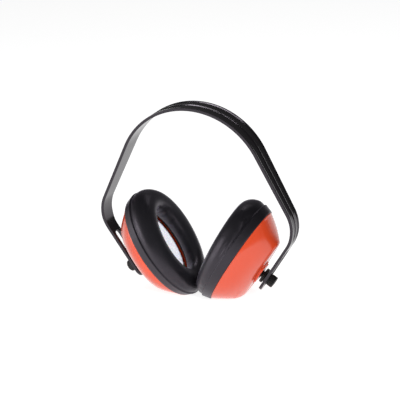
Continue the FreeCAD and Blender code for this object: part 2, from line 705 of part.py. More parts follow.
def cup_frame(side):
    """Placement that takes a cup's local frame to its side of the band."""
    lean = math.radians(value("dims.splay"))
    up = Vector(math.sin(lean), 0, math.cos(lean))
    outward = Vector(math.cos(lean), 0, -math.sin(lean))
    pivot = Vector(value("dims.pivot_across"), 0, value("dims.pivot_height"))
    right = Placement(pivot, Rotation(up, Vector(0, -1, 0), outward, "ZXY"))
    return side_turn(side).multiply(right)


def side_turn(side):
    """The left side is the right side turned half round about Z."""
    return Placement(Vector(), Rotation(Vector(0, 0, 1), 0 if side == "right" else 180))


nodes = []
for side in ("left", "right"):
    band = headband_half(f"headband_{side}_half")
    band.Placement = side_turn(side)
    nodes.append(band)
    for make in CUP_PIECES:
        piece = make(f"{side}_{make.__name__}")
        piece.Placement = cup_frame(side)
        nodes.append(piece)
for node in nodes:
    node.Label = node.Name
doc.recompute()

for item in doc.Objects:
    if "Invalid" in item.State or "Error" in item.State:
        raise RuntimeError(f"{item.Name} did not compute: {item.State}")
os.makedirs("parts", exist_ok=True)
for node in nodes:
    if node.Shape.isNull() or not node.Shape.isValid():
        raise RuntimeError(f"{node.Label} has no valid shape")
    node.Shape.exportStep(f"parts/{node.Label}.step")
    print(f"{node.Label}: {len(node.Shape.Solids)} solid(s), {node.Shape.Volume / 1000:.2f} cm3")
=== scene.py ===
import json
import math

import bmesh
import bpy
import numpy as np
from mathutils import Matrix, Vector


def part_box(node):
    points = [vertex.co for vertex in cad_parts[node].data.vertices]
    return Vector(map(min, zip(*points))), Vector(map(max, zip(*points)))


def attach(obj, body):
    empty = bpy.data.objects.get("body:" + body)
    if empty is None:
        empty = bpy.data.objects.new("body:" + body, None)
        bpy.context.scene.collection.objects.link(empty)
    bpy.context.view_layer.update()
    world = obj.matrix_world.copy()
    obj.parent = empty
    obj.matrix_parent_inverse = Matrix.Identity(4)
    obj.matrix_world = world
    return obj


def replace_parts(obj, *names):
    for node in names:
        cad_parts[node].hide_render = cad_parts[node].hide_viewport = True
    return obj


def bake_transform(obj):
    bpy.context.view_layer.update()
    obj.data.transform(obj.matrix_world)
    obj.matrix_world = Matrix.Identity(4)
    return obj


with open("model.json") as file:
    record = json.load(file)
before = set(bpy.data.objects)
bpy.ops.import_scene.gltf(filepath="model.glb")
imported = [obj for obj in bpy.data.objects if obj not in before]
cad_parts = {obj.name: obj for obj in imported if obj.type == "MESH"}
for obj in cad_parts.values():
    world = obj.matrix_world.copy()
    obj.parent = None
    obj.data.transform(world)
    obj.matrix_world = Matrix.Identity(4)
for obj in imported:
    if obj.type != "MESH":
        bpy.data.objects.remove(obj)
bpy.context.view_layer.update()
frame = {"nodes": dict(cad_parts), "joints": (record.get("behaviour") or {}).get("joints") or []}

# Hearing protection earmuffs, relaxed and standing on the tips of their cups.  Lengths are in
# millimetres up to add_mesh, which makes metres of them.  A cup's own frame is that of the frame
# model: the middle of its ball joint, X up along the band's slotted end, Z outward through it.

MM = 0.001
JOINTS = {joint["name"]: joint for joint in frame["joints"]}
SIDES = ("left", "right")

# ---- sizes -------------------------------------------------------------------------------------

CROWN_TURN = math.radians(63)
KNEE_RADIUS = 32.0
BAND_INNER, BAND_OUTER = 9.4, 12.0
STRAP = BAND_OUTER - BAND_INNER
STRIP_ABOVE_CLAMP, STRIP_BELOW_CLAMP = 39.2, 13.0
SLOT_ABOVE_CLAMP, SLOT_BELOW_CLAMP = 34.7, 8.0
CROWN_HALF, KNEE_HALF, STRIP_HALF, SLOT_HALF = 12.0, 8.25, 7.25, 3.75
CHANNEL_DEPTH = 0.55
TOOTH_DEPTH, TOOTH_STEP = 0.22, 1.6
# Height below which the band is no wider than at its knees.
TAPER_FOOT = 75.1

CUP_SHIFT = 1.5
FACE, SHOULDER, RIM = (32.5, 12.0, 2.6), (39.5, 29.0, -7.2), (49.5, 34.5, -19.8)
WALL = 2.4
# Half length and half width of the ring inside the shell's outer face and inside its floor.
FACE_MIDDLE, FLOOR_MIDDLE = (20.0, 8.2), (20.0, 8.6)
# How far the bend between face and side starts before the face's edge, along and across, and the
# share of the side that it takes up: at the upper end of the cup and at the lower one.
CRISP_BEND, SOFT_BEND = (3.0, 3.0, 0.10), (8.5, 3.0, 0.30)
SOCKET_RADIUS = 6.4
LEDGE_TOP, STEP_TOP, LEDGE_FOOT = 4.2, 3.4, 0.5
LEDGE_HALF, STEP_HALF = (8.25, 7.5), (10.75, 6.0)
# Where the lower step's blocks start inside the upper one, clear of the socket.
STEP_START = 6.9
SKIRT_TOP = -19.87
CUSHION_LEAN = math.radians(5)
LINER_BACK, LINER_FACE = -7.1, -17.8
KNOB_LOW, KNOB_TOP, KNOB_RADIUS, KNOB_GROOVES = 12.95, 18.1, 5.4, 18
COLLAR_LOW, COLLAR_TOP, COLLAR_RADIUS, NECK_BORE = 5.87, 8.28, 7.0, 3.05


def cup_frame(side):
    """Rotation and middle of a cup's own frame, in the frame of the whole object."""
    out = np.array(JOINTS[f"{side}_swivel"]["axis"], float)
    up = np.array(JOINTS[f"{side}_slide"]["axis"], float)
    middle = np.array(JOINTS[f"{side}_swivel"]["pos_m"], float) / MM
    return np.stack([up, np.cross(out, up), out], axis=1), middle


def placed(points, side):
    """Points of a cup's own frame, in the frame of the whole object."""
    turn, middle = cup_frame(side)
    return points @ turn.T + middle


# ---- meshes ------------------------------------------------------------------------------------

RING_COUNT = 192

def add_mesh(name, points, faces, finish):
    """Smooth-shaded closed mesh from points in millimetres."""
    mesh = bpy.data.meshes.new(name)
    mesh.from_pydata([tuple(point) for point in np.asarray(points) * MM], [], faces)
    work = bmesh.new()
    work.from_mesh(mesh)
    bmesh.ops.remove_doubles(work, verts=work.verts, dist=2e-6)
    bmesh.ops.recalc_face_normals(work, faces=work.faces)
    work.to_mesh(mesh)
    work.free()
    mesh.shade_smooth()
    piece = bpy.data.objects.new(name, mesh)
    bpy.context.scene.collection.objects.link(piece)
    mesh.materials.append(finish)
    return piece


def grid_faces(rows, columns, first=0, around=False, through=False):
    """Quads of a grid of points; it may close round its columns and round its rows."""
    faces = []
    for i in range(rows if through else rows - 1):
        for j in range(columns if around else columns - 1):
            a, b = first + i * columns, first + ((i + 1) % rows) * columns
            k = (j + 1) % columns
            faces.append((a + j, a + k, b + k, b + j))
    return faces


def stack_rings(rings, through=False):
    """Points and faces of a skin over closed rings, each an array of the same length."""
    points = np.concatenate(rings)
    return points, grid_faces(len(rings), len(rings[0]), around=True, through=through)


def joined(*skins):
    """One list of points and faces from several skins."""
    points, faces, start = [], [], 0
    for skin_points, skin_faces in skins:
        points.append(skin_points)
        faces += [tuple(start + i for i in face) for face in skin_faces]
        start += len(skin_points)
    return np.concatenate(points), faces


def oval(section, count=RING_COUNT, power=2.0):
    """Closed ring with half length, half width and level; a power over 2 squares it up."""
    long_half, short_half, level = section
    angle = np.linspace(0, 2 * math.pi, count, endpoint=False)
    c, s = np.cos(angle), np.sin(angle)
    reach = (np.abs(c) ** power + np.abs(s) ** power) ** (-1 / power)
    return np.stack([long_half * c * reach, short_half * s * reach, np.full(count, level)], axis=1)


def cup_oval(section, count=RING_COUNT, power=2.0, share=0.0):
    """Oval about the cup's middle, leaning by a share of the cushion's lean."""
    ring = oval(section, count, power)
    lean = share * CUSHION_LEAN
    return ring * (math.cos(lean), 1, 1) + np.stack(
        [np.full(count, CUP_SHIFT), np.zeros(count), -ring[:, 0] * math.sin(lean)], axis=1)


def parabola(start, middle, end, t):
    """Value at t of the parabola through three values at 0, a half and 1."""
    start, middle, end = (np.asarray(v, float) for v in (start, middle, end))
    return start + (4 * middle - 3 * start - end) * t + (2 * start + 2 * end - 4 * middle) * t * t


def rounded(before, corner, after, steps=5):
    """Sections that round a corner between two others, as a quadratic curve."""
    before, corner, after = (np.asarray(v, float) for v in (before, corner, after))
    ways = np.linspace(0, 1, steps)
    return [(1 - t) ** 2 * before + 2 * t * (1 - t) * corner + t * t * after for t in ways]


def smooth_step(low, high, x):
    """0 below low, 1 above high and a smooth rise between."""
    t = np.clip((np.asarray(x, float) - low) / (high - low), 0, 1)
    return t * t * (3 - 2 * t)


# ---- finishes ----------------------------------------------------------------------------------

class Finish:
    """A procedural material under construction."""

    def __init__(self, name, colour, roughness, **sockets):
        self.material = bpy.data.materials.new(name)
        self.material.use_nodes = True
        self.nodes = self.material.node_tree.nodes
        self.links = self.material.node_tree.links
        self.shader = self.nodes["Principled BSDF"]
        self.place = self.nodes.new("ShaderNodeTexCoord").outputs["Object"]
        self.shader.inputs["Base Color"].default_value = (*colour, 1)
        self.shader.inputs["Roughness"].default_value = roughness
        for label, amount in sockets.items():
            self.shader.inputs[label.replace("_", " ")].default_value = amount

    def texture(self, kind, output, scale, **settings):
        """Output of a texture node in object space, with its inputs or properties set."""
        node = self.nodes.new(kind)
        self.links.new(self.place, node.inputs["Vector"])
        node.inputs["Scale"].default_value = scale
        for label, amount in settings.items():
            if label in node.inputs:
                node.inputs[label].default_value = amount
            else:
                setattr(node, label, amount)
        return node.outputs[output]

    def noise(self, scale, detail=4.0):
        return self.texture("ShaderNodeTexNoise", "Fac", scale, Detail=detail)

    def cells(self, scale, feature="F1"):
        return self.texture("ShaderNodeTexVoronoi", "Distance", scale, feature=feature)

    def spread(self, signal, low, high):
        """The signal's middle part stretched over a range."""
        node = self.nodes.new("ShaderNodeMapRange")
        self.links.new(signal, node.inputs["Value"])
        node.inputs["From Min"].default_value = 0.3
        node.inputs["From Max"].default_value = 0.7
        node.inputs["To Min"].default_value = low
        node.inputs["To Max"].default_value = high
        return node.outputs["Result"]

    def vary_roughness(self, signal, low, high):
        self.links.new(self.spread(signal, low, high), self.shader.inputs["Roughness"])
        return self

    def vary_colour(self, signal, first, second):
        ramp = self.nodes.new("ShaderNodeValToRGB")
        ramp.color_ramp.elements[0].color = (*first, 1)
        ramp.color_ramp.elements[1].color = (*second, 1)
        self.links.new(self.spread(signal, 0, 1), ramp.inputs["Fac"])
        self.links.new(ramp.outputs["Color"], self.shader.inputs["Base Color"])
        return self

    def relief(self, signal, strength, distance):
        """Bump from a signal, on top of any bump that is there already."""
        node = self.nodes.new("ShaderNodeBump")
        node.inputs["Strength"].default_value = strength
        node.inputs["Distance"].default_value = distance
        self.links.new(signal, node.inputs["Height"])
        under = self.shader.inputs["Normal"].links
        if under:
            self.links.new(under[0].from_socket, node.inputs["Normal"])
        self.links.new(node.outputs["Normal"], self.shader.inputs["Normal"])
        return self


def make_finishes():
    """The material slots of the record, each with its finish."""
    band = Finish("satin_black_nylon", (0.004, 0.0035, 0.004), 0.16, Specular_IOR_Level=0.6)
    band.shader.inputs["Specular Tint"].default_value = (0.96, 0.86, 1.0, 1)
    band.vary_roughness(band.noise(60), 0.13, 0.2).relief(band.noise(900), 0.03, 0.0002)

    shell = Finish("glossy_red_abs", (0.62, 0.06, 0.018), 0.22, Specular_IOR_Level=0.5, Coat_Weight=0.4,
                   Coat_Roughness=0.05)
    shell.vary_colour(shell.noise(25, 2), (0.6, 0.057, 0.017), (0.64, 0.064, 0.02))
    shell.relief(shell.noise(500, 2), 0.03, 0.0002)

    moulded = Finish("black_moulded_plastic", (0.006, 0.0055, 0.006), 0.36, Specular_IOR_Level=0.3)
    moulded.vary_roughness(moulded.noise(150), 0.28, 0.45).relief(moulded.noise(2500), 0.1, 0.0001)

    rubber = Finish("dark_rubber", (0.02, 0.02, 0.021), 0.75)
    rubber.relief(rubber.noise(1800), 0.2, 0.0002)

    steel = Finish("zinc_plated_steel", (0.56, 0.56, 0.55), 0.3, Metallic=1.0)
    steel.vary_roughness(steel.noise(900), 0.22, 0.42).relief(steel.noise(1500), 0.05, 0.0001)

    vinyl = Finish("black_vinyl", (0.005, 0.005, 0.006), 0.4, Specular_IOR_Level=0.6, Sheen_Weight=0.1,
                   Sheen_Roughness=0.4)
    vinyl.shader.inputs["Sheen Tint"].default_value = (0.78, 0.68, 0.9, 1)
    vinyl.shader.inputs["Specular Tint"].default_value = (0.95, 0.84, 1.0, 1)
    vinyl.vary_roughness(vinyl.noise(70), 0.33, 0.45)
    vinyl.relief(vinyl.cells(1100, "SMOOTH_F1"), 0.2, 0.0002).relief(vinyl.noise(220, 3), 0.12, 0.0006)

    foam = Finish("black_foam", (0.03, 0.03, 0.032), 0.9)
    foam.relief(foam.cells(1500), 0.6, 0.0005)

    liner = Finish("white_foam", (0.86, 0.83, 0.9), 0.85, Subsurface_Weight=0.1)
    liner.vary_colour(liner.cells(1300), (0.72, 0.69, 0.77), (0.92, 0.89, 0.95))
    liner.relief(liner.cells(1300), 0.6, 0.0005)

    return {
        "band_plastic": band.material,
        "shell_plastic": shell.material,
        "black_plastic": moulded.material,
        "seat_rubber": rubber.material,
        "steel": steel.material,
        "cover_vinyl": vinyl.material,
        "foam": foam.material,
        "liner_foam": liner.material,
    }


# ---- headband ----------------------------------------------------------------------------------

def band_route(top):
    """The band's outer face on the +X side, as lengths and a function of the distance from the crown.

    The function gives the across and up places and the outward direction's angle from the vertical.
    """
    turn, middle = cup_frame("right")
    up, out = turn[:, 0], turn[:, 2]
    knee = middle + out * (BAND_OUTER - KNEE_RADIUS) + up * STRIP_ABOVE_CLAMP
    lean = math.atan2(up[0], up[2])
    steep = 1 / math.cos(CROWN_TURN)
    rise = knee[2] + knee[0] * math.tan(CROWN_TURN) + KNEE_RADIUS * steep - top
    crown = rise / (steep - 1)
    tangent = np.array([math.sin(CROWN_TURN), math.cos(CROWN_TURN)])
    crown_end = np.array([0, top - crown]) + crown * tangent
    knee_start = np.array([knee[0], knee[2]]) + KNEE_RADIUS * tangent
    flare = float(np.linalg.norm(knee_start - crown_end))
    knee_turn = math.pi / 2 + lean - CROWN_TURN
    lengths = np.cumsum([crown * CROWN_TURN, flare, KNEE_RADIUS * knee_turn,
                         STRIP_ABOVE_CLAMP + STRIP_BELOW_CLAMP])

    def at(distance):
        if distance < lengths[0]:
            a = distance / crown
            return crown * math.sin(a), top - crown + crown * math.cos(a), a
        along = distance - lengths[0]
        if distance < lengths[1]:
            x, z = crown_end + along * np.array([math.cos(CROWN_TURN), -math.sin(CROWN_TURN)])
            return x, z, CROWN_TURN
        a = CROWN_TURN + min(distance - lengths[1], KNEE_RADIUS * knee_turn) / KNEE_RADIUS
        x, z = knee[0] + KNEE_RADIUS * math.sin(a), knee[2] + KNEE_RADIUS * math.cos(a)
        beyond = max(distance - lengths[2], 0)
        return x + beyond * math.cos(a), z - beyond * math.sin(a), a

    return lengths, at


def band_rows(lengths, half_width):
    """Rows across a quarter of the band, from crown to tip: each an inner and an outer edge point.

    Points are (distance from the crown, distance from the middle line).  Along the slot the inner
    edge is the slot's; below it the rows fan round the tip.
    """
    clamp = lengths[3] - STRIP_BELOW_CLAMP
    slot_top = clamp - SLOT_ABOVE_CLAMP
    slot_low = clamp + SLOT_BELOW_CLAMP
    rows = [((s, 0.0), (s, half_width(s))) for s in np.arange(0, slot_top - 0.6, 1.5)]
    for a in np.linspace(0, math.pi / 2, 9):
        s = slot_top + SLOT_HALF * (1 - math.cos(a))
        rows.append(((s, SLOT_HALF * math.sin(a)), (s, half_width(s))))
    last = slot_low - SLOT_HALF
    for s in np.arange(slot_top + SLOT_HALF + 0.4, last - 0.2, 0.4):
        rows.append(((s, SLOT_HALF), (s, half_width(s))))
    tip_middle = lengths[3] - STRIP_HALF
    straight = tip_middle - last
    whole = straight + STRIP_HALF * math.pi / 2
    for a in np.linspace(0, math.pi / 2, 19):
        inner = (last + SLOT_HALF * math.sin(a), SLOT_HALF * math.cos(a))
        run = whole * a / (math.pi / 2)
        if run < straight:
            outer = (last + run, STRIP_HALF)
        else:
            bend = (run - straight) / STRIP_HALF
            outer = (tip_middle + STRIP_HALF * math.sin(bend), STRIP_HALF * math.cos(bend))
        rows.append((inner, outer))
    return rows, slot_top, last


def make_headband(finish):
    """One continuous moulded band: ribbed edges, a faint middle rib, and slotted toothed ends."""
    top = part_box("headband_right_half")[1].z / MM
    lengths, at = band_route(top)

    def half_width(s):
        """Half the band's width at a distance from the crown."""
        _, z, _ = at(min(s, lengths[2]))
        share = np.clip((z - TAPER_FOOT) / (top - TAPER_FOOT), 0, 1)
        wide = KNEE_HALF + (CROWN_HALF - KNEE_HALF) * share
        return float(wide + (STRIP_HALF - wide) * smooth_step(lengths[2] - 16, lengths[2] - 1, s))

    rows, slot_top, last = band_rows(lengths, half_width)
    # Distances from the inner edge, shares of the width between, and distances from the outer edge.
    near_inner, between, near_outer = (0.0, 0.5, 0.9), (0.2, 0.4, 0.6, 0.8), (2.5, 2.05, 1.2, 0.6, 0.0)
    outside, inside = [], []
    for inner, outer in rows:
        inner, outer = np.array(inner), np.array(outer)
        width = float(np.linalg.norm(outer - inner))
        way = (outer - inner) / width
        s = inner[0]
        tight = 1 - 0.52 * smooth_step(slot_top - 14, slot_top + 4, s)
        spots = [d * tight for d in near_inner]
        low, high = near_inner[-1] * tight, width - near_outer[0] * tight
        spots += [low + (high - low) * share for share in between]
        spots += [width - d * tight for d in near_outer]
        channel = CHANNEL_DEPTH * (1 - smooth_step(slot_top - 16, slot_top - 5, s))
        on_rail = float(smooth_step(slot_top + 6, slot_top + 9, s) * (1 - smooth_step(last - 6, last - 3, s)))
        tooth = TOOTH_DEPTH * on_rail * (0.5 + 0.5 * math.cos(2 * math.pi * s / TOOTH_STEP)) ** 2
        outer_row, inner_row = [], []
        for k, spot in enumerate(spots):
            distance, side_way = inner + way * spot
            x, z, a = at(distance)
            in_channel = 2 <= k <= 7
            depth = channel if in_channel else 0.0
            depth += tooth if 2 <= k <= 9 else 0.0
            direction = np.array([math.sin(a), 0, math.cos(a)])
            place = np.array([x, side_way, z])
            outer_row.append(place - direction * depth)
            inner_row.append(place - direction * STRAP)
        outside.append(outer_row)
        inside.append(inner_row)
    count, columns = len(rows), len(outside[0])
    points = np.concatenate([np.array(outside).reshape(-1, 3), np.array(inside).reshape(-1, 3)])
    faces = grid_faces(count, columns) + grid_faces(count, columns, first=count * columns)
    under = count * columns
    for i in range(count - 1):
        a, b = i * columns, (i + 1) * columns
        faces.append((a + columns - 1, b + columns - 1, under + b + columns - 1, under + a + columns - 1))
        if rows[i + 1][0][1] > 0:
            faces.append((a, b, under + b, under + a))
    skins = []
    for across in (1, -1):
        for back in (1, -1):
            skins.append((points * np.array([across, back, 1]), faces))
    band = add_mesh("headband", *joined(*skins), finish)
    soften = band.modifiers.new("soften", "BEVEL")
    soften.width = 0.45 * MM
    soften.segments = 3
    soften.limit_method = "ANGLE"
    soften.angle_limit = math.radians(62)
    bake_modifiers(band)
    return band


def bake_modifiers(piece):
    """Make the result of a piece's modifiers its mesh."""
    bpy.context.view_layer.update()
    shaped = piece.evaluated_get(bpy.context.evaluated_depsgraph_get())
    mesh = bpy.data.meshes.new_from_object(shaped)
    piece.modifiers.clear()
    piece.data = mesh


# ---- cup pieces --------------------------------------------------------------------------------

def socket_ring(level, grow=0.0):
    """Ring of the ball socket at a level."""
    radius = math.sqrt(SOCKET_RADIUS ** 2 - level ** 2) + grow
    return oval((radius, radius, level))


def ledge_sections(half, top, soft=0.45):
    """Sections up the side of a ledge block and over its rounded edge."""
    long_half, short_half = half
    edge = rounded((long_half, short_half, top - soft), (long_half, short_half, top),
                   (long_half - soft, short_half - soft, top))
    return [(long_half, short_half, LEDGE_FOOT), *edge]


def ledge_skin(half, top):
    """The upper step of the clamp ledge: rounded block with the ball socket through it."""
    rings = [oval(section, power=7) for section in ledge_sections(half, top)]
    rings.append(socket_ring(top, 0.3))
    rings.append(socket_ring(top - 0.3))
    rings += [socket_ring(level) for level in np.linspace(top - 0.6, LEDGE_FOOT, 4)]
    return stack_rings(rings, through=True)


def step_skins(half, top):
    """The lower step: narrower than the ball socket, so a rounded block beyond each end of it."""
    rings, quarter = [], RING_COUNT // 4
    for section in ledge_sections(half, top):
        ring = oval(section, power=7)[np.arange(-quarter, quarter + 1)]
        ring[:, 0] = np.maximum(ring[:, 0], STEP_START)
        rings.append(ring)
    points, faces = stack_rings(rings)
    count = len(rings[0])
    faces += [tuple(range(count)), tuple(range(len(points) - count, len(points)))]
    return [(points * (way, 1, 1), faces) for way in (1, -1)]


def outer_rings(back_long, back_short, turn_end):
    """Rings over the shell's outer face and sides, with the bend between them as soft as asked."""
    face_in = (FACE[0] - back_long, FACE[1] - back_short, FACE[2])
    bend = rounded(face_in, FACE, parabola(FACE, SHOULDER, RIM, turn_end), 8)
    rings = [cup_oval(section, power=2.2) for section in bend]
    for t in np.linspace(turn_end, 1, 26)[1:-1]:
        rings.append(cup_oval(parabola(FACE, SHOULDER, RIM, t), power=2.2 - 0.2 * t))
    return rings


def make_shell(side, finish):
    """Moulded cup: outer face softer at its lower end, thin rim, two-step ledge and ball socket."""
    drops = ((FACE, WALL), (SHOULDER, 0.4), (RIM, 0.0))
    wall_inside = [np.array(section) - (WALL, WALL, drop) for section, drop in drops]
    outer = [socket_ring(FACE[2]), oval((*FACE_MIDDLE, FACE[2]), power=2.3)]
    crisp, soft = outer_rings(*CRISP_BEND), outer_rings(*SOFT_BEND)
    angle = np.linspace(0, 2 * math.pi, RING_COUNT, endpoint=False)
    lower = smooth_step(0.2, 1.0, -np.cos(angle))[:, None]
    outer += [a * (1 - lower) + b * lower for a, b in zip(crisp, soft)]
    edge = (RIM[0] - 0.5, RIM[1] - 0.5, RIM[2])
    outer += [cup_oval(s) for s in rounded((RIM[0], RIM[1], RIM[2] + 0.5), RIM, edge, 4)]
    inner = [cup_oval((RIM[0] - WALL + 0.4, RIM[1] - WALL + 0.4, RIM[2]))]
    for t in np.linspace(0.98, 0.0, 22):
        inner.append(cup_oval(parabola(*wall_inside, t)))
    floor = FACE[2] - WALL
    inner += [oval((*FLOOR_MIDDLE, floor)), socket_ring(floor), socket_ring(1.4)]
    skins = [stack_rings(outer + inner, through=True), ledge_skin(LEDGE_HALF, LEDGE_TOP),
             *step_skins(STEP_HALF, STEP_TOP)]
    points, faces = joined(*skins)
    return add_mesh(f"{side}_shell", placed(points, side), faces, finish)


def lathe(profile, count=96, groove=None):
    """Closed skin turned about local Z from (radius, level) pairs; groove deepens it round its edge."""
    angle = np.linspace(0, 2 * math.pi, count, endpoint=False)
    rings = []
    for radius, level in profile:
        reach = np.full(count, float(radius))
        if groove is not None:
            reach = reach - groove(radius, level, angle)
        rings.append(np.stack([reach * np.cos(angle), reach * np.sin(angle), np.full(count, level)], axis=1))
    return stack_rings(rings, through=True)


def make_knob(side, finish):
    """Thumb knob with a scalloped edge and a shallow dished top."""
    def groove(radius, level, angle):
        if radius < KNOB_RADIUS - 0.7 or level < KNOB_LOW + 0.2:
            return 0.0
        return 0.36 * (0.5 + 0.5 * np.cos(KNOB_GROOVES * angle)) ** 2

    r = KNOB_RADIUS
    profile = [(0.01, KNOB_TOP - 0.35), (r - 2.6, KNOB_TOP - 0.35), (r - 1.9, KNOB_TOP - 0.25),
               (r - 1.5, KNOB_TOP), (r - 1.0, KNOB_TOP)]
    profile += [tuple(s) for s in rounded((r - 0.8, KNOB_TOP), (r, KNOB_TOP), (r, KNOB_TOP - 0.9))]
    profile += [(r, 15.5), (r, KNOB_LOW + 0.5), (r - 0.15, KNOB_LOW + 0.15), (r - 0.5, KNOB_LOW),
                (2.9, KNOB_LOW), (2.6, KNOB_LOW + 0.3), (2.55, 16.9), (0.01, 16.9)]
    points, faces = lathe(profile, KNOB_GROOVES * 10, groove)
    return add_mesh(f"{side}_knob_cap", placed(points, side), faces, finish)


def make_collar(side, finish):
    """Spacer between the ledge and the stud, waisted by a shallow groove."""
    r = COLLAR_RADIUS
    profile = [(NECK_BORE, COLLAR_LOW + 0.2), (NECK_BORE + 0.2, COLLAR_LOW), (r - 0.5, COLLAR_LOW),
               (r - 0.12, COLLAR_LOW + 0.15), (r, COLLAR_LOW + 0.5), (r, COLLAR_LOW + 0.85),
               (r - 0.2, COLLAR_LOW + 1.0), (r - 0.2, COLLAR_LOW + 1.2), (r, COLLAR_LOW + 1.35),
               (r, COLLAR_TOP - 0.4), (r - 0.12, COLLAR_TOP - 0.1), (r - 0.4, COLLAR_TOP),
               (NECK_BORE + 0.2, COLLAR_TOP), (NECK_BORE, COLLAR_TOP - 0.2)]
    points, faces = lathe(profile)
    return add_mesh(f"{side}_collar", placed(points, side), faces, finish)


def make_liner(side, finish):
    """Cut block of open foam in the bottom of the cup, soft at its edges and slightly uneven."""
    back, face = (36.0, 25.5), (42.6, 30.4)
    rings = [cup_oval((back[0] * share, back[1] * share, LINER_BACK)) for share in (0.02, 0.4, 0.8, 0.97)]
    rings += [cup_oval((*back, LINER_BACK - 0.5))]
    below = (face[0] - 1.0, face[1] - 0.8, LINER_FACE + 1.8)
    within = (face[0] - 2.5, face[1] - 2.5, LINER_FACE)
    rings += [cup_oval(section) for section in rounded(below, (*face, LINER_FACE), within, 6)]
    for share in (0.85, 0.7, 0.55, 0.4, 0.25, 0.12, 0.02):
        sag = 0.25 * math.cos(share * 9)
        rings.append(cup_oval((face[0] * share, face[1] * share, LINER_FACE + sag)))
    points, faces = stack_rings(rings)
    faces.append(tuple(range(RING_COUNT - 1, -1, -1)))
    faces.append(tuple(range(len(points) - RING_COUNT, len(points))))
    return add_mesh(f"{side}_liner", placed(points, side), faces, finish)


# ---- cushions ----------------------------------------------------------------------------------

CUSHION_COUNT = 160
# Rings round the cushion: up inside its skirt, down outside it to the crease, over the pad's
# shoulder and face, and back along its inner wall and underside.  Each has its half length, half
# width, level and share of the lean.
CUSHION_RINGS = [
    (51.45, 36.0, -27.84, 0), (49.2, 34.15, -20.4, 0), (49.25, 34.2, -20.0, 0),
    (49.6, 34.6, SKIRT_TOP, 0), (50.0, 35.0, SKIRT_TOP, 0), (50.3, 35.3, -20.3, 0),
    (50.95, 35.85, -22.4, 0), (51.7, 36.45, -25.0, 0), (52.3, 36.95, -26.9, 0),
    (52.5, 37.1, -27.5, 0), (52.2, 36.8, -28.0, 0), (51.5, 36.15, -28.35, 0), (51.3, 36.0, -28.8, 0),
    (51.8, 36.5, -29.6, 0.1), (52.15, 36.8, -31.2, 0.2), (52.0, 36.7, -32.9, 0.3),
    (51.1, 36.0, -35.0, 0.45), (49.4, 34.7, -37.4, 0.6), (47.2, 32.9, -39.4, 0.75),
    (44.6, 30.7, -41.0, 0.9), (41.8, 28.2, -42.0, 1), (38.8, 25.5, -42.35, 1),
    (35.8, 22.8, -42.4, 1), (33.4, 20.5, -42.1, 1), (32.0, 19.0, -41.2, 1), (31.25, 18.25, -39.5, 1),
    (31.0, 18.0, -37.0, 0.9), (31.0, 18.0, -33.9, 0.7), (31.0, 18.0, -31.2, 0.4), (31.1, 18.1, -29.0, 0.1),
    (31.5, 18.5, -27.84, 0), (36.0, 23.0, -27.84, 0), (43.0, 29.0, -27.84, 0),
]
CREASE_ROW = 12
LAST_FREE_ROW = 28


def swollen(points, faces, held, pressure=8.0, cap=2.5):
    """The skin's points after its air pressure has swelled it, each moving at most the cap."""
    grow = 10 * MM
    mesh = bpy.data.meshes.new("cushion_form")
    mesh.from_pydata([tuple(point) for point in points * grow], [], faces)
    work = bmesh.new()
    work.from_mesh(mesh)
    bmesh.ops.recalc_face_normals(work, faces=work.faces)
    work.to_mesh(mesh)
    work.free()
    form = bpy.data.objects.new("cushion_form", mesh)
    bpy.context.scene.collection.objects.link(form)
    form.vertex_groups.new(name="held").add([int(i) for i in np.nonzero(held)[0]], 1.0, "REPLACE")
    cloth = form.modifiers.new("cloth", "CLOTH")
    cloth.settings.quality = 8
    cloth.settings.mass = 0.15
    cloth.settings.tension_stiffness = 12
    cloth.settings.compression_stiffness = 12
    cloth.settings.shear_stiffness = 6
    cloth.settings.bending_stiffness = 0.6
    cloth.settings.use_pressure = True
    cloth.settings.uniform_pressure_force = pressure
    cloth.settings.effector_weights.gravity = 0
    cloth.settings.vertex_group_mass = "held"
    cloth.collision_settings.use_collision = False
    cloth.point_cache.frame_start = 1
    cloth.point_cache.frame_end = 20
    scene = bpy.context.scene
    for step in range(1, 21):
        scene.frame_set(step)
    shaped = form.evaluated_get(bpy.context.evaluated_depsgraph_get())
    after = np.array([v.co for v in shaped.data.vertices]) / grow
    scene.frame_set(1)
    bpy.data.objects.remove(form)
    move = after - points
    size = np.linalg.norm(move, axis=1, keepdims=True)
    return points + move * np.minimum(1, cap / np.maximum(size, 1e-6))


def cushion_form():
    """Points and faces of a swollen cushion in a cup's own frame."""
    rings = [cup_oval(ring[:3], CUSHION_COUNT, share=ring[3]) for ring in CUSHION_RINGS]
    points, faces = stack_rings(rings, through=True)
    row = np.repeat(np.arange(len(rings)), CUSHION_COUNT)
    free = (row > CREASE_ROW) & (row <= LAST_FREE_ROW)
    return swollen(points, faces, ~free), faces


# Small folds in each cushion's skin: where round the cup in degrees, at which level, how far they
# run round the cup, how wide and how deep they are, and how they slant.
FOLDS = {
    "right": [
        (38, -33.0, 4.0, 1.2, -1.5, 0.4),
        (31, -31.0, 3.0, 1.0, 0.9, -0.3),
        (74, -31.5, 9.0, 0.9, 0.7, 0.05),
    ],
    "left": [
        (-22, -32.5, 5.0, 1.3, 0.6, 0.3),
        (-140, -33.5, 6.0, 1.4, 0.5, -0.2),
        (64, -33.0, 5.0, 1.2, 0.5, 0.2),
    ],
}
# Half length, half width and mean radius of the pad.
PAD_LONG, PAD_SHORT, PAD_MEAN = 52.0, 36.7, 44
# The cushions' gap where they meet, its growth per distance from the middle, and how blunt it starts.
CONTACT_GAP, CONTACT_SLOPE, CONTACT_BLUNT = 0.15, 0.065, 4


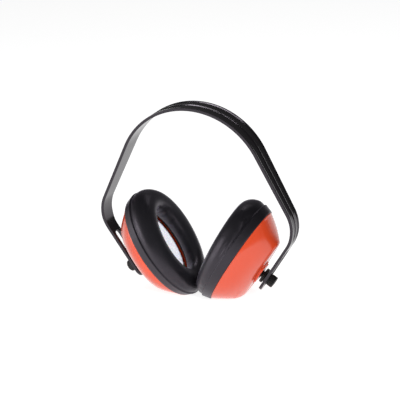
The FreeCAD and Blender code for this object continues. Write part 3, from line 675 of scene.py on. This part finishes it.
def folded(points, side):
    """Press the folds of one side into the cushion's points, each with a small ridge beside it."""
    across, along = points[:, 1] / PAD_SHORT, (points[:, 0] - CUP_SHIFT) / PAD_LONG
    angle, reach = np.arctan2(across, along), np.hypot(across, along)
    inward = -np.stack([along, across, np.zeros(len(points))], axis=1) / reach[:, None]
    made = points.copy()
    for degrees, level, run, width, depth, slant in FOLDS[side]:
        turn = (angle - math.radians(degrees) + math.pi) % (2 * math.pi) - math.pi
        t = turn * PAD_MEAN
        v = (points[:, 2] - level - slant * t) / width
        press = np.exp(-v * v) - 0.5 * np.exp(-(v - 1.7) ** 2)
        amount = depth * press * np.exp(-(t / run) ** 2) * smooth_step(0.85, 0.92, reach)
        made += inward * amount[:, None]
    return made


def make_cushion(side, form, finish):
    """The cushion of one side, nearly flat where it presses on the other one."""
    points, faces = form
    piece = add_mesh(f"{side}_cushion", points, faces, finish)
    smooth = piece.modifiers.new("smooth", "SUBSURF")
    smooth.levels = smooth.render_levels = 1
    bake_modifiers(piece)
    soft = folded(np.array([v.co for v in piece.data.vertices]) / MM, side)
    soft = placed(soft, side)
    away = np.hypot(soft[:, 1], CONTACT_BLUNT) - CONTACT_BLUNT
    contact = CONTACT_GAP + CONTACT_SLOPE * away
    soft[:, 0] = np.maximum(soft[:, 0], contact) if side == "right" else np.minimum(soft[:, 0], -contact)
    for vertex, place in zip(piece.data.vertices, soft * MM):
        vertex.co = place
    piece.data.update()
    return piece


# ---- scene -------------------------------------------------------------------------------------

def make_stage(finish_colour):
    """Wide pale floor that glows a little."""
    half = 6.0
    mesh = bpy.data.meshes.new("floor")
    corners = [(-half, -half, 0), (half, -half, 0), (half, half, 0), (-half, half, 0)]
    mesh.from_pydata(corners, [], [(0, 1, 2, 3)])
    floor = bpy.data.objects.new("floor", mesh)
    bpy.context.scene.collection.objects.link(floor)
    paper = Finish("pale_paper", finish_colour, 0.9, Emission_Strength=0.84)
    paper.shader.inputs["Emission Color"].default_value = (1, 1, 1, 1)
    paper.relief(paper.noise(40), 0.02, 0.001)
    mesh.materials.append(paper.material)


def hang(light, place, target, mirrored):
    """Put a light up, pointed at a target; one that is not mirrored shows in no reflection."""
    lamp = bpy.data.objects.new(light.name, light)
    lamp.location = place
    lamp.rotation_euler = (Vector(target) - Vector(place)).to_track_quat("-Z", "Y").to_euler()
    lamp.visible_glossy = mirrored
    bpy.context.scene.collection.objects.link(lamp)


def add_softbox(name, place, target, size, power, mirrored=True):
    light = bpy.data.lights.new(name, "AREA")
    light.shape = "RECTANGLE"
    light.size, light.size_y = size
    light.energy = power
    hang(light, place, target, mirrored)


def add_snoot(name, place, target, spread, power):
    light = bpy.data.lights.new(name, "SPOT")
    light.energy = power
    light.spot_size = math.radians(spread)
    light.spot_blend = 0.5
    light.shadow_soft_size = 0.02
    hang(light, place, target, mirrored=False)


def make_lights():
    """Dim white room, four softboxes and a snoot that reaches into the left cup."""
    world = bpy.data.worlds.new("studio")
    world.use_nodes = True
    world.node_tree.nodes["Background"].inputs["Color"].default_value = (1, 1, 1, 1)
    world.node_tree.nodes["Background"].inputs["Strength"].default_value = 0.09
    bpy.context.scene.world = world
    add_softbox("overhead", (0.0, 0.35, 1.3), (0, 0, 0.08), (1.4, 0.1), 5)
    add_softbox("front_left", (-1.0, -0.8, 0.25), (0, 0, 0.08), (0.8, 0.5), 5.5)
    add_softbox("front_fill", (0.3, -1.2, 0.7), (0, 0, 0.06), (0.6, 0.6), 5, mirrored=False)
    add_softbox("high_right", (0.85, -0.9, 0.65), (-0.03, 0, 0.05), (0.25, 0.25), 9, mirrored=False)
    add_snoot("into_left_cup", (0.62, -0.72, 0.55), (-0.04, 0.01, 0.042), 4.5, 45)


def make_camera():
    """Long lens at the height of a person standing at a table, turned a little to the right."""
    azimuth, elevation, roll = (math.radians(a) for a in (25.1, 20.17, 3.13))
    away, target, aim = 1.3216, Vector((0, 0, 0.071)), Vector((-0.0003, 0.0068, 0.0883))
    back = Vector((math.sin(azimuth) * math.cos(elevation), -math.cos(azimuth) * math.cos(elevation),
                   math.sin(elevation)))
    lens = bpy.data.cameras.new("camera")
    lens.sensor_width = 36
    lens.lens = 134.4
    lens.clip_end = 50
    camera = bpy.data.objects.new("camera", lens)
    camera.location = target + away * back
    look = (aim - camera.location).to_track_quat("-Z", "Y")
    camera.rotation_euler = (look.to_matrix() @ Matrix.Rotation(-roll, 3, "Z")).to_euler()
    bpy.context.scene.collection.objects.link(camera)
    bpy.context.scene.camera = camera


# ---- making ------------------------------------------------------------------------------------

finishes = make_finishes()
SLOTS = {
    "clamp_stud": "black_plastic", "guide_washer": "black_plastic", "ball_stem": "black_plastic",
    "socket_cap": "black_plastic", "cushion_plate": "black_plastic", "ball_seat": "seat_rubber",
    "pivot_screw": "steel", "cap_screws": "steel",
}
for side in SIDES:
    for part, slot in SLOTS.items():
        node = frame["nodes"][f"{side}_{part}"]
        node.data.materials.clear()
        node.data.materials.append(finishes[slot])

make_camera()
make_lights()
make_stage((0.5, 0.5, 0.5))

band = make_headband(finishes["band_plastic"])
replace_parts(band, "headband_left_half", "headband_right_half")
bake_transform(band)

form = cushion_form()
for side in SIDES:
    cup = f"{side}_cup"
    shell = make_shell(side, finishes["shell_plastic"])
    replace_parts(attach(shell, cup), f"{side}_cup_shell")
    cushion = make_cushion(side, form, finishes["cover_vinyl"])
    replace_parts(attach(cushion, cup), f"{side}_cushion_cover", f"{side}_cushion_foam")
    liner = make_liner(side, finishes["liner_foam"])
    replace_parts(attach(liner, cup), f"{side}_foam_liner")
    knob = make_knob(side, finishes["black_plastic"])
    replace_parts(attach(knob, f"{side}_knob"), f"{side}_thumb_knob")
    collar = make_collar(side, finishes["black_plastic"])
    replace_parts(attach(collar, f"{side}_stem"), f"{side}_spacer_collar")

bpy.context.scene.view_settings.view_transform = "Standard"
